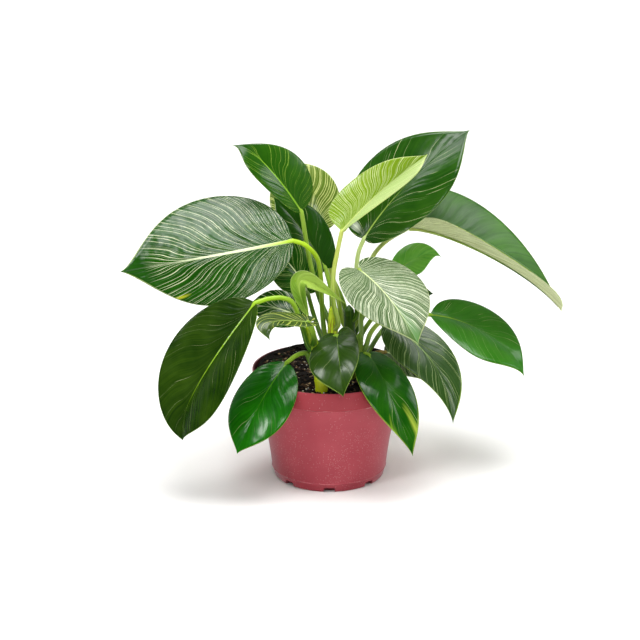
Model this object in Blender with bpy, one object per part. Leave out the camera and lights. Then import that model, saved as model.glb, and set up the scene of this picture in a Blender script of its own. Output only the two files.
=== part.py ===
"""A birkin philodendron in a plastic nursery pot: pot, soil, four short stems and their leaves.

Lengths in the driving values are millimetres and become metres where a mesh is made. The origin is
the middle of the pot's flat bottom, +Z is up and -Y is the front. Each leaf is one piece: a blade on
a midrib that runs on as its own stalk, whose foot sits on a stem. The stems stand in holes in the soil.
"""
import math
from dataclasses import dataclass

import bmesh
import bpy
from mathutils import Matrix, Vector, noise

MM = 0.001
CLEARANCE = 0.3
WELD = 0.01

POT_HEIGHT = 110.0
POT_WALL = 1.6
POT_FLOOR = 2.0
POT_SIDES = 36
RIM_RADIUS = 76.0
RIM_BAND = 19.5
RIM_STEP = 1.9
RIM_ROUND = 0.8
FOOT_RADIUS = 55.0
FOOT_ROUND = 2.5
FOOT_BEAD = 9.0
WALL_BASE = 56.3
WALL_LEAN = 0.08
WALL_CURVE = 0.0011
WALL_RINGS = 4
NOTCH_COUNT = 8
NOTCH_WIDTH = 11.0
NOTCH_HEIGHT = 5.0
NOTCH_DEPTH = 12.0

SOIL_EDGE = 104.0
SOIL_MOUND = 6.5
SOIL_HEAP = 8.0
SOIL_HEAP_POWER = 6
SOIL_LUMP = 1.6
SOIL_CLOD = 13.0
SOIL_CRUMB = 6.0
SOIL_RINGS = 3

STEM_RINGS = 7
STEM_KNUCKLE = 0.35
STEM_BUD = 6.0
STEM_BUD_RADIUS = 1.6

BLADE_THICKNESS = 1.0
BLADE_ROWS = 9
BLADE_COLUMNS = 6
BLADE_PEAK = 0.96
LOBE_AT = 0.45
TIP_TURN = 18
VEIN_START = 1.6
STALK_RADIUS = 2.5
STALK_SAMPLES = 7
FOOT_SUNK = 2.0
FOOT_OUT = 2.6
FOOT_RISE = 7.0
FOOT_SWELL = 1.25
JOINT_SLIM = 0.9
RIB_STOPS = (0.05, 0.2, 0.45, 0.75)
RIB_START = 0.8
RIB_TIP_RADIUS = 0.4
RIB_COVER = 0.2


@dataclass
class Stem:
    """A short stem: the points of its axis, and its radius at the bottom and at the top."""

    axis: tuple
    radius: tuple


@dataclass
class Leaf:
    """A leaf: where its foot is, its stalk's route, its midrib and the form of its blade.

    foot is the height and the azimuth on the stem. stalk holds the points that the stalk passes
    through, and rib the control points of the midrib's curve from the joint to the tip. face is the
    way the upper side looks. fold is the angle that each half rises from flat and curl how much it
    bends back by its edge, in degrees. lobe is how far the base reaches behind the joint, point how
    full the blade stays towards its tip, skew how far one half is shifted along the other, uneven how
    much wider it is, and tip how far the drip tip is turned out of the midrib's line, in millimetres.
    """

    stem: str
    foot: tuple
    stalk: tuple
    rib: tuple
    width: float
    face: tuple
    fold: float = 14.0
    curl: float = 20.0
    lobe: float = 0.06
    point: float = 4.5
    skew: float = 0.0
    uneven: float = 0.0
    tip: tuple = (0.0, 0.0, 0.0)
    colour: str = "dark"


STEMS = {
    "stem_front": Stem(
        axis=((-7, -59, 80), (-8, -56, 112), (-13, -51, 140), (-19, -46, 166)), radius=(6.5, 4.6)),
    "stem_right": Stem(axis=((26, -28, 80), (27, -27, 112), (29, -22, 148)), radius=(7.5, 3.8)),
    "stem_centre": Stem(axis=((3, -4, 80), (3, -3, 120), (4, -1, 170)), radius=(7.5, 4.6)),
    "stem_back": Stem(axis=((21, 34, 80), (21, 34, 120), (20, 35, 158)), radius=(7.5, 5.0)),
}

LEAVES = {
    "leaf_wide_left": Leaf(
        stem="stem_centre", foot=(140, 195),
        stalk=((-7, 3, 172), (-8, 5, 200), (-12, 1, 222), (-23, -8, 237)),
        rib=((-35, -15, 243.5), (-122, -20, 227), (-193, -76, 230.5)), width=114, face=(-0.29, -0.8, 0.42),
        fold=-3, curl=16, lobe=0.0, point=3.7, skew=-0.03, uneven=0.15),
    "leaf_top_left": Leaf(
        stem="stem_centre", foot=(150, 120),
        stalk=((-9, 16, 175), (-16, 17, 200), (-22, 21, 230), (-25, 21, 250)),
        rib=((-27, 20, 263), (-54, 6, 311.5), (-85, 18, 331.5)), width=48.5, face=(0.5, -0.85, 0.33),
        fold=10, curl=10, lobe=0.0, point=5.5, skew=-0.12, uneven=0.28, tip=(-8, -3, -2)),
    "leaf_back_left": Leaf(
        stem="stem_back", foot=(140, 150), stalk=((8, 46, 172), (0, 56, 200), (-6, 65, 220)),
        rib=((-10, 70, 232), (-26, 84, 268), (-53, 100, 294)), width=74, face=(0.3, -0.85, 0.4), fold=16,
        colour="lime"),
    "leaf_dark_centre": Leaf(
        stem="stem_centre", foot=(132, 85), stalk=((3, 22, 155), (2, 33, 178), (-1, 39, 190)),
        rib=((-4, 43, 200), (-26, 48, 242), (-55, 50, 270)), width=52, face=(0.4, -0.85, 0.35), fold=10),
    "leaf_lime_top": Leaf(
        stem="stem_centre", foot=(152, 310), stalk=((4, -6, 180), (4, 0, 205), (8, 4, 228)),
        rib=((12, 5, 247.5), (46.5, 19, 285.5), (92.5, 0, 324)), width=53, face=(-0.66, -0.75, 0.59),
        fold=42, curl=22, lobe=0.0, point=13.0, skew=0.23, colour="lime"),
    "leaf_top_right": Leaf(
        stem="stem_back", foot=(148, 340), stalk=((27, 34, 180), (27, 33, 200), (29, 34, 218)),
        rib=((34.5, 35, 232), (66.5, 50.5, 283), (138.5, 68, 334)), width=87, face=(-0.32, -0.86, 0.67),
        fold=22, curl=22, lobe=0.03, point=6.8, skew=0.04),
    "leaf_long_right": Leaf(
        stem="stem_back", foot=(140, 25), stalk=((34, 46, 175), (42, 52, 205), (56, 58, 222)),
        rib=((79, 60, 236), (111, 72, 236), (202, 35, 199), (231, 26, 160)), width=129,
        face=(0.02, -0.1, 1.0), fold=47, curl=29, lobe=0.0, point=3.2, skew=0.19, uneven=0.11,
        colour="lime"),
    "leaf_silver_front": Leaf(
        stem="stem_right", foot=(142, 70), stalk=((31, -8, 165), (33, -8, 185), (32, -14, 207)),
        rib=((28, -25, 218), (59, -58, 204), (82, -92, 165)), width=84, face=(0.24, -0.49, 0.84), fold=12,
        curl=16, lobe=0.12, colour="sage"),
    "leaf_small_back_right": Leaf(
        stem="stem_back", foot=(126, 45), stalk=((36, 50, 150), (50, 60, 175)),
        rib=((68, 70, 187), (89, 82, 205), (113, 84, 203)), width=35, face=(-0.17, -0.75, 0.52), fold=14,
        curl=27, point=3.4, skew=-0.05, tip=(2, 0, -4)),
    "leaf_hidden_right": Leaf(
        stem="stem_back", foot=(116, 350), stalk=((34, 34, 135), (44, 36, 150)),
        rib=((53, 38, 158), (80, 52, 176), (106, 64, 166)), width=36, face=(-0.2, -0.6, 0.8), fold=14),
    "leaf_pointed_right": Leaf(
        stem="stem_right", foot=(118, 50),
        stalk=((39, -8, 130), (52, 8, 145), (66, 20, 153), (82, 24, 158)),
        rib=((100, 23, 157), (154.5, 23, 152.5), (192.5, -17, 114)), width=63, face=(0.23, -0.52, 0.91),
        fold=14, curl=22, lobe=-0.02, point=7.7, skew=0.09, uneven=-0.09, tip=(-2, -1, -7)),
    "leaf_striped_low_right": Leaf(
        stem="stem_right", foot=(132, 10), stalk=((40, -14, 150), (48, -8, 158)),
        rib=((54.5, -5, 158), (112.5, -32, 137), (118.5, -63, 75)), width=54, face=(0.05, -0.7, 0.75),
        fold=9, curl=19, lobe=0.01, point=2.7, skew=-0.09, uneven=-0.07, colour="sage"),
    "leaf_low_right": Leaf(
        stem="stem_right", foot=(121, 330), stalk=((34, -30, 134),),
        rib=((38, -32, 134), (55, -77, 124), (79, -91, 53)), width=49, face=(0.31, -0.8, 0.5),
        fold=11, curl=23, lobe=0.08, point=4.9, skew=-0.07, colour="bright"),
    "leaf_heart_front": Leaf(
        stem="stem_front", foot=(132, 10), stalk=((-2, -44, 150),),
        rib=((7, -47, 159), (8, -81, 152), (13, -92, 113)), width=50, face=(-0.2, -0.9, 0.4), fold=10,
        lobe=0.17, skew=0.05, uneven=0.18),
    "leaf_low_left": Leaf(
        stem="stem_front", foot=(128, 170), stalk=((-22, -50, 142), (-31, -44, 138)),
        rib=((-41, -42, 129.5), (-67.5, -77, 105), (-87.5, -92, 56)), width=61, face=(-0.4, -0.75, 0.38),
        fold=8, curl=28, lobe=-0.01, point=7.5, colour="bright"),
    "leaf_broad_low_left": Leaf(
        stem="stem_front", foot=(146, 200),
        stalk=((-26, -49, 168), (-34, -47, 190), (-44, -47, 196), (-57, -49, 196)),
        rib=((-70, -54, 193.5), (-150, -87, 97.5), (-138.5, -88, 68)), width=85, face=(-0.4, -0.78, 0.29),
        fold=28, curl=20, lobe=0.0, point=2.9, skew=-0.06, uneven=0.06),
    "leaf_curled_left": Leaf(
        stem="stem_front", foot=(152, 280), stalk=((-16, -59, 167),),
        rib=((-20, -64, 178), (-38, -70, 181), (-67, -82, 191), (-55, -92, 169)), width=31,
        face=(0.0, -0.2, 1.0), fold=20, curl=25, lobe=0.2, skew=0.08),
    "leaf_young_folded": Leaf(
        stem="stem_front", foot=(156, 100), stalk=((-21, -37, 171),),
        rib=((-22, -35, 178), (-41, -31, 228), (-17, -26, 208), (18, -22, 181)), width=21,
        face=(-0.2, -0.9, 0.4), fold=42, curl=10, lobe=0.02, point=3.0, colour="lime"),
    "leaf_striped_mid_left": Leaf(
        stem="stem_centre", foot=(116, 190), stalk=((-12, -8, 138), (-20, -10, 156)),
        rib=((-28, -12, 165), (-52, -12, 180), (-80, -4, 174)), width=38, face=(-0.2, -0.75, 0.6), fold=12),
    "leaf_behind_left": Leaf(
        stem="stem_centre", foot=(122, 140), stalk=((-10, 10, 145), (-16, 16, 162)),
        rib=((-21, 18, 181), (-34, 20, 212), (-66, 26, 234)), width=48, face=(0.4, -0.85, 0.35), fold=12),
    "leaf_under_right": Leaf(
        stem="stem_right", foot=(111, 100), stalk=((36, -6, 120), (46, -4, 126)),
        rib=((55, -4, 127), (78, -9, 126), (98, -28, 104)), width=38, face=(0.0, -0.6, 0.8), fold=12,
        colour="sage"),
    "leaf_back_high": Leaf(
        stem="stem_back", foot=(130, 104), stalk=((15, 50, 160), (4, 62, 182)),
        rib=((-6, 71, 194), (-36, 112, 216), (-72, 146, 190)), width=52, face=(-0.2, 0.4, 0.9), fold=14),
    "leaf_back_low": Leaf(
        stem="stem_back", foot=(114, 80), stalk=((26, 50, 135), (32, 64, 148)),
        rib=((38, 76, 152), (54, 118, 150), (62, 140, 100)), width=60, face=(0.1, 0.6, 0.8), fold=14,
        colour="bright"),
}

COLOURS = {
    "pot": ((0.46, 0.075, 0.095), 0.5),
    "soil": ((0.018, 0.011, 0.007), 0.95),
    "stem": ((0.32, 0.45, 0.05), 0.5),
    "dark": ((0.014, 0.10, 0.010), 0.35),
    "bright": ((0.05, 0.26, 0.02), 0.35),
    "lime": ((0.42, 0.56, 0.10), 0.4),
    "sage": ((0.22, 0.34, 0.14), 0.45),
}


def new_material(name, kind):
    """A plain material of one of the colours above, in linear RGB with its roughness."""
    colour, roughness = COLOURS[kind]
    material = bpy.data.materials.new(name)
    material.use_nodes = True
    shader = material.node_tree.nodes["Principled BSDF"]
    shader.inputs["Base Color"].default_value = (*colour, 1.0)
    shader.inputs["Roughness"].default_value = roughness
    shader.inputs["Metallic"].default_value = 0.0
    return material


def new_object(name, bm, kind):
    """Turn a bmesh in millimetres into an object in metres with its own material."""
    bmesh.ops.scale(bm, vec=(MM, MM, MM), verts=bm.verts)
    mesh = bpy.data.meshes.new(name)
    bm.to_mesh(mesh)
    bm.free()
    obj = bpy.data.objects.new(name, mesh)
    bpy.context.scene.collection.objects.link(obj)
    obj.data.materials.append(new_material(name, kind))
    return obj


def combine(obj, tool, operation):
    """Apply one Boolean of obj with tool, an object that stays for its next use."""
    modifier = obj.modifiers.new(operation.lower(), "BOOLEAN")
    modifier.operation = operation
    modifier.solver = "EXACT"
    modifier.object = tool
    evaluated = obj.evaluated_get(bpy.context.evaluated_depsgraph_get())
    mesh = bpy.data.meshes.new_from_object(evaluated)
    obj.modifiers.clear()
    obj.data = mesh


def bezier(points, t):
    """Point of the Bezier curve with these control points."""
    level = [Vector(point) for point in points]
    while len(level) > 1:
        level = [a.lerp(b, t) for a, b in zip(level, level[1:])]
    return level[0]


def smooth_route(points, steps):
    """Points at even steps of the smooth curve that passes through all the given points."""
    ends = [2 * points[0] - points[1], *points, 2 * points[-1] - points[-2]]
    samples = []
    for i in range(steps + 1):
        at = i / steps * (len(points) - 1)
        k = min(int(at), len(points) - 2)
        t = at - k
        a, b, c, d = ends[k:k + 4]
        bend = (2 * a - 5 * b + 4 * c - d) * t**2 + (3 * b - 3 * c + d - a) * t**3
        samples.append(0.5 * (2 * b + (c - a) * t + bend))
    return samples


def tube(name, path, radii, resolution, kind):
    """Round tube along a path in millimetres, with capped ends, as a mesh object in metres."""
    curve = bpy.data.curves.new(name, "CURVE")
    curve.dimensions = "3D"
    curve.bevel_depth = 1.0
    curve.bevel_resolution = resolution
    curve.use_fill_caps = True
    line = curve.splines.new("POLY")
    line.points.add(len(path) - 1)
    for point, place, radius in zip(line.points, path, radii):
        point.co = (*place, 1.0)
        point.radius = radius
    route = bpy.data.objects.new(name + "_route", curve)
    bpy.context.scene.collection.objects.link(route)
    evaluated = route.evaluated_get(bpy.context.evaluated_depsgraph_get())
    bm = bmesh.new()
    bm.from_mesh(bpy.data.meshes.new_from_object(evaluated))
    bpy.data.objects.remove(route)
    bmesh.ops.remove_doubles(bm, verts=bm.verts, dist=WELD)
    bmesh.ops.recalc_face_normals(bm, faces=bm.faces)
    return new_object(name, bm, kind)


def turned(profile):
    """Closed solid of revolution round Z, from (radius, height) points that start and end on the axis."""
    bm = bmesh.new()
    verts = [bm.verts.new((radius, 0.0, height)) for radius, height in profile]
    edges = [bm.edges.new(pair) for pair in zip(verts, verts[1:])]
    bmesh.ops.spin(bm, geom=verts + edges, cent=(0, 0, 0), axis=(0, 0, 1), angle=math.tau,
                   steps=POT_SIDES, use_merge=True)
    bmesh.ops.remove_doubles(bm, verts=bm.verts, dist=WELD)
    bmesh.ops.recalc_face_normals(bm, faces=bm.faces)
    return bm


def wall_radius(height):
    """Outer radius of the pot's flared wall below the rim band."""
    return WALL_BASE + WALL_LEAN * height + WALL_CURVE * height**2


def wall_profile(inset):
    """Points of the curved wall, moved in by inset, from the foot's bead up to the rim band."""
    step = (POT_HEIGHT - RIM_BAND - FOOT_BEAD) / (WALL_RINGS - 1)
    heights = [FOOT_BEAD + step * i for i in range(WALL_RINGS)]
    return [(wall_radius(height) - inset, height) for height in heights]


def build_pot():
    """Thin moulded shell with a stepped rim band and drainage notches round its foot."""
    band = POT_HEIGHT - RIM_BAND
    band_radius = wall_radius(band) + RIM_STEP
    outer = [(0, 0), (FOOT_RADIUS - FOOT_ROUND, 0), (FOOT_RADIUS, FOOT_ROUND / 2),
             (WALL_BASE, FOOT_BEAD - FOOT_ROUND), *wall_profile(0.0), (band_radius, band + POT_WALL),
             (RIM_RADIUS, POT_HEIGHT - RIM_ROUND), (RIM_RADIUS - RIM_ROUND, POT_HEIGHT)]
    inner = [(RIM_RADIUS - POT_WALL - RIM_ROUND / 2, POT_HEIGHT - RIM_ROUND),
             (band_radius - POT_WALL, band + 2 * POT_WALL), *reversed(wall_profile(POT_WALL)),
             (FOOT_RADIUS - POT_WALL - 1.0, POT_FLOOR + FOOT_ROUND / 2),
             (FOOT_RADIUS - POT_WALL - FOOT_ROUND, POT_FLOOR), (0, POT_FLOOR)]
    pot = new_object("pot", turned(outer + inner), "pot")
    for i in range(NOTCH_COUNT):
        bm = bmesh.new()
        bmesh.ops.create_cube(bm, size=1.0)
        bmesh.ops.scale(bm, vec=(NOTCH_DEPTH, NOTCH_WIDTH, 2 * NOTCH_HEIGHT), verts=bm.verts)
        bmesh.ops.translate(bm, vec=(FOOT_RADIUS, 0, 0), verts=bm.verts)
        turn = Matrix.Rotation(math.tau * i / NOTCH_COUNT, 3, "Z")
        bmesh.ops.rotate(bm, cent=(0, 0, 0), matrix=turn, verts=bm.verts)
        cutter = new_object("notch_cutter", bm, "pot")
        combine(pot, cutter, "DIFFERENCE")
        bpy.data.objects.remove(cutter)


def soil_height(x, y, edge):
    """Height of the lumpy mound of soil of radius edge, heaped up a little along its back."""
    across = min(1.0, math.hypot(x, y) / edge)
    heap = SOIL_HEAP * across**SOIL_HEAP_POWER * math.sqrt(max(0.0, y / edge))
    lump = noise.noise(Vector((x / SOIL_CLOD, y / SOIL_CLOD, 2.7)))
    lump += 0.5 * noise.noise(Vector((x / SOIL_CRUMB, y / SOIL_CRUMB, 9.1)))
    return SOIL_EDGE + heap + SOIL_MOUND * (1 - across**2) + SOIL_LUMP * lump * (1 - 0.6 * across**4)


def build_soil(rooms):
    """Body of soil that fills the pot to just below its rim, with a hole for each stem."""
    gap = POT_WALL + CLEARANCE
    band = POT_HEIGHT - RIM_BAND
    edge = wall_radius(band) + RIM_STEP - gap
    bottom = POT_FLOOR + CLEARANCE
    low = [(0, bottom), (FOOT_RADIUS - gap - 2 * FOOT_ROUND, bottom)]
    side = [*wall_profile(gap), (edge, band + 2 * POT_WALL - CLEARANCE)]
    top = [(edge * (1 - i / SOIL_RINGS), SOIL_EDGE) for i in range(SOIL_RINGS + 1)]
    bm = turned(low + side + top)
    for vert in bm.verts:
        if vert.co.z > SOIL_EDGE - WELD:
            vert.co.z = soil_height(vert.co.x, vert.co.y, edge)
    soil = new_object("soil", bm, "soil")
    for room in rooms.values():
        combine(soil, room, "DIFFERENCE")


def stem_point(stem, height):
    """Point of the stem's axis at a height, and its radius there."""
    points = [Vector(point) for point in stem.axis]
    share = (height - points[0].z) / (points[-1].z - points[0].z)
    for low, high in zip(points, points[1:]):
        if height <= high.z:
            break
    place = low.lerp(high, (height - low.z) / (high.z - low.z))
    return place, stem.radius[0] + (stem.radius[1] - stem.radius[0]) * share


def build_stem(name, stem, extra):
    """Tapering stem with slight knuckles and a blunt growing point, grown all over by extra."""
    low, high = stem.axis[0][2] - extra, stem.axis[-1][2]
    path, radii = [], []
    for i in range(STEM_RINGS + 1):
        place, radius = stem_point(stem, low + (high - low) * i / STEM_RINGS)
        path.append(place)
        radii.append(radius + extra + STEM_KNUCKLE * (i % 2))
    path.append(path[-1] + (path[-1] - path[-2]).normalized() * (STEM_BUD + extra))
    radii.append(STEM_BUD_RADIUS + extra)
    return tube(name, path, radii, 2, "stem")


def blade_plan(leaf, q, s):
    """Plan of the blade: share of the length along the midrib, and distance from it in millimetres.

    q runs from the joint to the tip along the margin and s from one margin (-1) to the other (1).
    Lines of equal q follow the side veins, which leave the midrib and sweep on towards the tip.
    """
    theta = math.pi * q
    reach = (1 - math.cos(theta)) / 2
    half = leaf.width / 2 / BLADE_PEAK * math.sin(theta) * (1 - reach**leaf.point)
    half *= 1 + math.copysign(leaf.uneven, s)
    lobe = leaf.lobe * theta / LOBE_AT * math.exp(1 - theta / LOBE_AT) * (1 - reach)
    start = q**VEIN_START
    margin = reach - lobe + leaf.skew * s * math.sin(theta)**2
    return start + (margin - start) * abs(s)**VEIN_START, half * s


def rib_frame(leaf, along):
    """Point of the midrib, the direction across the blade and the one out of its upper side."""
    step = 0.01
    place = bezier(leaf.rib, along)
    ahead = (bezier(leaf.rib, along + step) - bezier(leaf.rib, along - step)).normalized()
    face = Vector(leaf.face)
    out = (face - ahead * face.dot(ahead)).normalized()
    return place + Vector(leaf.tip) * along**TIP_TURN, ahead.cross(out), out


def blade_point(leaf, q, s, depth):
    """Point of the blade: each half rises from the midrib and bends back to its edge."""
    along, across = blade_plan(leaf, q, s)
    place, side, out = rib_frame(leaf, along)
    fold = math.radians(leaf.fold)
    bend = math.radians(leaf.curl) / (leaf.width / 2)
    turned_to = fold - bend * abs(across)
    over = (math.sin(fold) - math.sin(turned_to)) / bend
    rise = (math.cos(turned_to) - math.cos(fold)) / bend
    return place + side * math.copysign(over, across) + out * (rise - depth)


def build_blade(name, leaf):
    """Flat slab, split into triangles alike on both faces and then mapped to the blade's form."""
    bm = bmesh.new()
    bmesh.ops.create_grid(bm, x_segments=BLADE_ROWS, y_segments=BLADE_COLUMNS, size=1.0)
    bmesh.ops.triangulate(bm, faces=bm.faces, quad_method="FIXED")
    lower = bmesh.ops.extrude_face_region(bm, geom=bm.faces[:])["geom"]
    lower_verts = [item for item in lower if isinstance(item, bmesh.types.BMVert)]
    bmesh.ops.translate(bm, vec=(0, 0, -1), verts=lower_verts)
    for vert in bm.verts:
        along, across, depth = (vert.co.x + 1) / 2, vert.co.y, -vert.co.z
        vert.co = blade_point(leaf, along, across, depth * BLADE_THICKNESS)
    bmesh.ops.remove_doubles(bm, verts=bm.verts, dist=WELD)
    bmesh.ops.triangulate(bm, faces=bm.faces, quad_method="FIXED")
    bmesh.ops.recalc_face_normals(bm, faces=bm.faces)
    return new_object(name, bm, leaf.colour)


def build_stalk(name, leaf):
    """Stalk from inside the stem to the joint, running on as the keel of the midrib."""
    height, azimuth = leaf.foot
    axis, radius = stem_point(STEMS[leaf.stem], height)
    outward = Vector((math.cos(math.radians(azimuth)), math.sin(math.radians(azimuth)), 0))
    root = axis + outward * (radius - FOOT_SUNK)
    shoulder = axis + outward * (radius + FOOT_OUT) + Vector((0, 0, FOOT_RISE))
    points = [root, shoulder, *[Vector(point) for point in leaf.stalk], Vector(leaf.rib[0])]
    path = smooth_route(points, STALK_SAMPLES)
    slimming = (FOOT_SWELL - JOINT_SLIM) / STALK_SAMPLES
    radii = [STALK_RADIUS * (FOOT_SWELL - slimming * i) for i in range(STALK_SAMPLES + 1)]
    for stop in RIB_STOPS:
        place, _, out = rib_frame(leaf, stop)
        radius = STALK_RADIUS * RIB_START * (1 - stop) + RIB_TIP_RADIUS * stop
        path.append(place - out * (radius + RIB_COVER))
        radii.append(radius)
    return tube(name + "_stalk", path, radii, 1, leaf.colour)


def build_leaf(name, leaf, rooms):
    """Blade, midrib and stalk in one piece, with the stalk's foot set against its stem."""
    blade = build_blade(name, leaf)
    stalk = build_stalk(name, leaf)
    combine(blade, stalk, "UNION")
    bpy.data.objects.remove(stalk)
    combine(blade, rooms[leaf.stem], "DIFFERENCE")


def main():
    for obj in list(bpy.data.objects):
        bpy.data.objects.remove(obj)
    rooms = {name: build_stem(name + "_room", stem, CLEARANCE) for name, stem in STEMS.items()}
    for name, stem in STEMS.items():
        build_stem(name, stem, 0.0)
    build_pot()
    build_soil(rooms)
    for name, leaf in LEAVES.items():
        build_leaf(name, leaf, rooms)
    for room in rooms.values():
        bpy.data.objects.remove(room)


main()
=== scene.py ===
"""The looks of a birkin philodendron in its nursery pot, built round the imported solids.

Sizes are millimetres until a mesh is finished, and metres from there on, in the frame of the solids:
the origin is the middle of the pot's flat bottom, +Z is up and -Y is the front.
"""

import math
import random
from dataclasses import dataclass, replace

import bmesh
import bpy
from mathutils import Matrix, Vector, noise


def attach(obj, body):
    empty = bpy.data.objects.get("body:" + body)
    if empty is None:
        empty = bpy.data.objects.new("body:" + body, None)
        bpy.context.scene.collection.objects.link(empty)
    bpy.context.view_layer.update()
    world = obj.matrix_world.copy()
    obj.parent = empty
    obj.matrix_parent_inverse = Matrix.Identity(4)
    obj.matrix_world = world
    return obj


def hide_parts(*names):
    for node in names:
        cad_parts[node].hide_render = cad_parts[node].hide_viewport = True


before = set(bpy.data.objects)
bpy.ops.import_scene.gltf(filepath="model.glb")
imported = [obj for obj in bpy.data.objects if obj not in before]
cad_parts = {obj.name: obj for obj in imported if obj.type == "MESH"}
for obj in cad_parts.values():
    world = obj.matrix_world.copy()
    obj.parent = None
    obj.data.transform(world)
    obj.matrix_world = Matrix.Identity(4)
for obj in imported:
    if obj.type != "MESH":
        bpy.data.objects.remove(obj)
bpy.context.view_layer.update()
MM = 0.001

# Camera
# A long lens a little above the rim of the pot, as in the photograph: 626 mm of the scene fill
# the frame's width at the plant, seen from 1.6 m away and 18 degrees above level.

VIEW_TARGET = Vector((-9.0, 0.0, 159.0))
VIEW_DISTANCE = 1600.0
VIEW_WIDTH = 626.0
VIEW_RISE = math.radians(18.0)

camera_data = bpy.data.cameras.new("camera")
camera_data.lens = camera_data.sensor_width * VIEW_DISTANCE / VIEW_WIDTH
camera_data.clip_end = 50.0
camera = bpy.data.objects.new("camera", camera_data)
to_camera = Vector((0.0, -math.cos(VIEW_RISE), math.sin(VIEW_RISE)))
camera.location = (VIEW_TARGET + to_camera * VIEW_DISTANCE) * MM
camera.rotation_euler = to_camera.to_track_quat("Z", "Y").to_euler()
bpy.context.scene.collection.objects.link(camera)
bpy.context.scene.camera = camera
bpy.context.scene.view_settings.view_transform = "Standard"

# Studio
# A pale table in a dim studio, under one big softbox that hangs almost straight overhead and gives
# the grey sheen on the leaves that face up. Four small softboxes, at the left, front, right and
# back, give each side its own highlights. The table is left out of the leaves' reflections, as
# black cards round a plant would do.

FLOOR_SIZE = 24000.0
FLOOR_WHITE = "#FAFAF8"
OVERHEAD = (0.06, -0.12, 0.991)
# cosines of the angles from its middle at which the overhead softbox ends and is at its full
OVERHEAD_EDGE = (0.905, 0.975)
OVERHEAD_STRENGTH = 9.0
BACK_STRENGTH = 0.6
SIDE_STRENGTH = 0.15
FRONT_STRENGTH = 0.05


def linear(code):
    """Linear RGBA of an sRGB hex colour."""
    channels = [int(code[i:i + 2], 16) / 255 for i in (1, 3, 5)]
    return (*[c / 12.92 if c <= 0.04045 else ((c + 0.055) / 1.055)**2.4 for c in channels], 1.0)


def add(owner, kind, inputs=None, **settings):
    """Add a node to a material or world, with its settings, values and links. Returns its outputs."""
    made = owner.node_tree.nodes.new("ShaderNode" + kind)
    for name, value in settings.items():
        setattr(made, name, value)
    for name, value in (inputs or {}).items():
        if isinstance(value, bpy.types.NodeSocket):
            owner.node_tree.links.new(value, made.inputs[name])
        else:
            made.inputs[name].default_value = value
    return made.outputs


def new_surface(name):
    """An empty material, whose nodes all come from add."""
    material = bpy.data.materials.new(name)
    material.use_nodes = True
    material.node_tree.nodes.clear()
    return material


def coat(made, colour, rough, relief, gloss=None):
    """Finish a material with its colour, its roughness, its relief as (height, depth in metres,
    strength) and what else its gloss needs."""
    height, depth, strength = relief
    bump = add(made, "Bump", {"Height": height, "Distance": depth, "Strength": strength})["Normal"]
    shader = add(made, "BsdfPrincipled", {
        "Base Color": colour, "Roughness": rough, "Normal": bump, **(gloss or {})})["BSDF"]
    add(made, "OutputMaterial", {"Surface": shader})
    return made


def finish_piece(name, bm, materials, slot=None, nodes=()):
    """Turn a bmesh in millimetres into a smooth piece in metres that stands for its solids."""
    bmesh.ops.scale(bm, vec=(MM, MM, MM), verts=bm.verts)
    mesh = bpy.data.meshes.new(name)
    bm.to_mesh(mesh)
    bm.free()
    mesh.shade_smooth()
    piece = bpy.data.objects.new(name, mesh)
    bpy.context.scene.collection.objects.link(piece)
    for material in materials:
        mesh.materials.append(material)
    if slot:
        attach(piece, "root")
        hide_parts(*nodes)
    return piece


# painted board: matt white, with the faint unevenness of a roller
board = new_surface("white_painted_board")
board_place = add(board, "TexCoord")["Object"]
board_grain = add(board, "TexNoise", {"Vector": board_place, "Scale": 90.0, "Detail": 4.0})["Fac"]
coat(board, linear(FLOOR_WHITE), 0.8, (board_grain, 0.0002, 0.2))

bm = bmesh.new()
bmesh.ops.create_grid(bm, x_segments=1, y_segments=1, size=FLOOR_SIZE / 2)
floor = finish_piece("floor", bm, [board])
floor.visible_glossy = False

room = bpy.data.worlds.new("studio_room")
room.use_nodes = True
room.node_tree.nodes.clear()
look = add(room, "TexCoord")["Generated"]
look_parts = add(room, "SeparateXYZ", {"Vector": look})
upward = add(room, "VectorMath", {0: look, 1: OVERHEAD}, operation="DOT_PRODUCT")[1]
overhead = add(room, "MapRange", {
    "Value": upward, 1: OVERHEAD_EDGE[0], 2: OVERHEAD_EDGE[1], 4: OVERHEAD_STRENGTH})[0]
back = add(room, "MapRange", {
    "Value": look_parts["Y"], 2: 0.5, 3: FRONT_STRENGTH, 4: BACK_STRENGTH})[0]
side = add(room, "MapRange", {"Value": look_parts["X"], 1: 0.5, 2: 0.9, 4: SIDE_STRENGTH})[0]
glow = add(room, "Math", {0: back, 1: side}, operation="ADD")[0]
glow = add(room, "Math", {0: glow, 1: overhead}, operation="ADD")[0]
room_light = add(room, "Background", {"Color": linear("#FFFFFF"), "Strength": glow})["Background"]
add(room, "OutputWorld", {"Surface": room_light})
bpy.context.scene.world = room

SOFTBOXES = {
    # name: (place and size in metres, watts)
    "softbox_left": ((-1.07, -1.03, 1.27), 0.35, 8.0),
    "softbox_front": ((0.05, -1.53, 1.19), 0.40, 6.0),
    "softbox_right": ((1.41, -0.25, 1.06), 0.60, 5.0),
    "softbox_back": ((-0.72, 0.50, 1.55), 0.45, 2.5),
}
for name, (place, size, watts) in SOFTBOXES.items():
    lamp = bpy.data.lights.new(name, "AREA")
    lamp.size = size
    lamp.energy = watts
    softbox = bpy.data.objects.new(name, lamp)
    softbox.location = place
    aim = Vector(place) - VIEW_TARGET * MM
    softbox.rotation_euler = aim.to_track_quat("Z", "Y").to_euler()
    bpy.context.scene.collection.objects.link(softbox)

# Pot
# A six-inch nursery pot, injection moulded in rose-red polypropylene. The thin wall flares up to
# a deep stepped band, a faint bead runs round above the foot, and eight notches drain the corner.

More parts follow.
